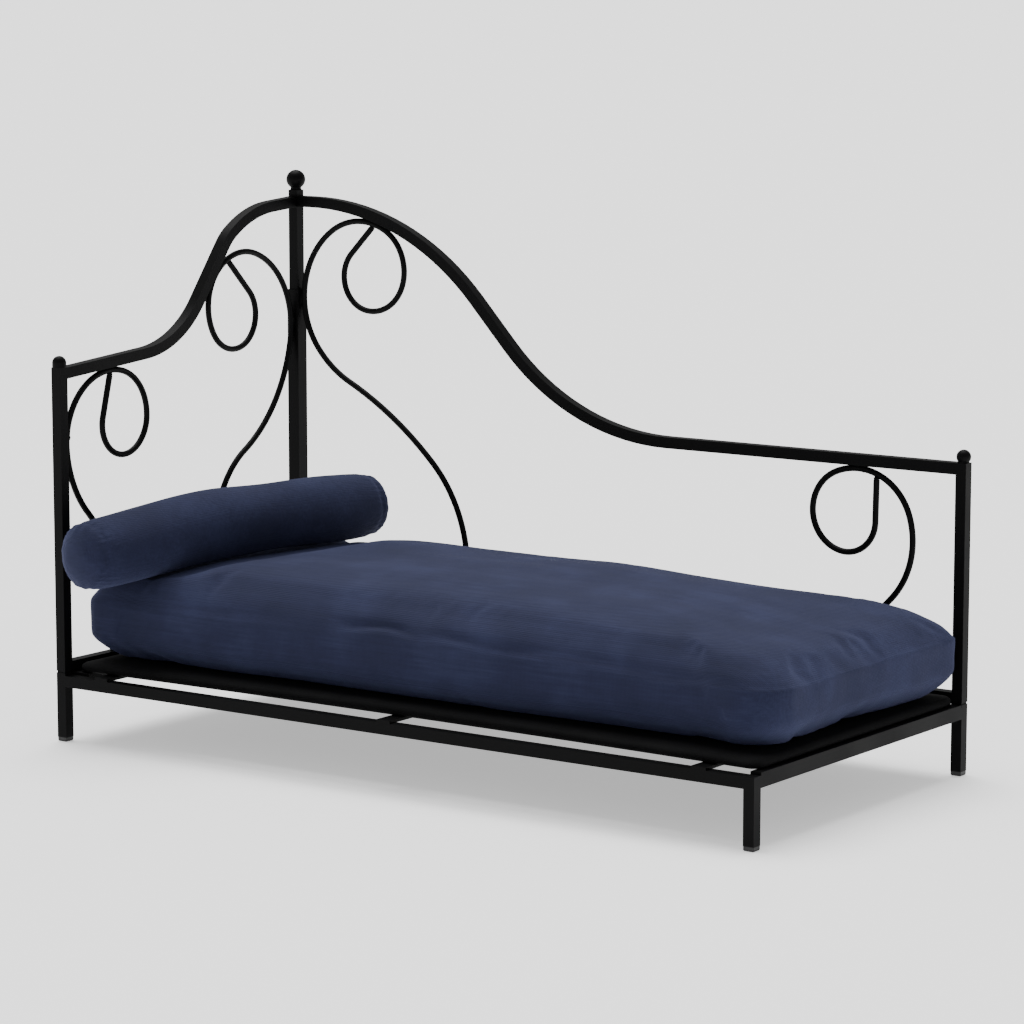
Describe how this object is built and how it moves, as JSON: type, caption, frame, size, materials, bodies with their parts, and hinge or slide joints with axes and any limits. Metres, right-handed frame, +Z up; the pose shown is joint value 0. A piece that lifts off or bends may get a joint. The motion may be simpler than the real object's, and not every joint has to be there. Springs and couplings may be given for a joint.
{
  "type": "dog bed with frame",
  "caption": "Chaise-shaped pet day bed: black square-tube frame with scrolled side and back panels, cloth-covered deck, navy box mattress and bolster.",
  "frame": {"origin": "centre of the whole outline on the floor; the bolster overhangs the front, so the posts stand 17 mm behind a centred place", "axes": "+X along the bed from the tall corner's end towards the open end, +Y from the open front to the back panel, +Z up"},
  "size_m": [0.9186, 0.4712, 0.6164],
  "materials": {
    "frame_paint": "satin black powder coat",
    "glide_plastic": "moulded black plastic",
    "screw_zinc": "zinc plated",
    "deck_cloth": "matte black woven cloth",
    "mattress_cloth": "navy brushed cotton",
    "bolster_cloth": "navy brushed cotton"
  },
  "bodies": {
    "frame": {"back_lower_bar": "frame_paint", "back_rail": "frame_paint", "back_right_ball": "frame_paint", "back_right_post": "frame_paint", "back_top_rail": "frame_paint", "bearer_left": "frame_paint", "bearer_middle": "frame_paint", "bearer_right": "frame_paint", "corner_finial": "frame_paint", "corner_post_lower": "frame_paint", "corner_post_upper": "frame_paint", "deck_board": "deck_cloth", "deck_screws": "screw_zinc", "front_left_dome": "frame_paint", "front_left_post": "frame_paint", "front_rail": "frame_paint", "front_right_plug": "frame_paint", "glide_back_left": "glide_plastic", "glide_back_right": "glide_plastic", "glide_front_left": "glide_plastic", "glide_front_right": "glide_plastic", "left_end_rail": "frame_paint", "left_end_strip": "frame_paint", "leg_back_left": "frame_paint", "leg_back_right": "frame_paint", "leg_front_left": "frame_paint", "leg_front_right": "frame_paint", "right_end_rail": "frame_paint", "right_end_strip": "frame_paint", "scroll_back_left": "frame_paint", "scroll_back_right": "frame_paint", "scroll_side_front": "frame_paint", "scroll_side_rear": "frame_paint", "side_lower_bar": "frame_paint", "side_top_rail": "frame_paint", "spigot_back_left": "frame_paint", "spigot_back_right": "frame_paint", "spigot_front_left": "frame_paint"},
    "mattress": {"mattress": "mattress_cloth"},
    "bolster": {"bolster": "bolster_cloth"}
  },
  "joints": [
    {"name": "mattress_lift", "type": "slide", "parent": "frame", "child": "mattress", "axis": [0, 0, 1], "range_m": [0, 0.3]},
    {"name": "bolster_lift", "type": "slide", "parent": "mattress", "child": "bolster", "axis": [0, 0, 1], "range_m": [0, 0.3]}
  ]
}
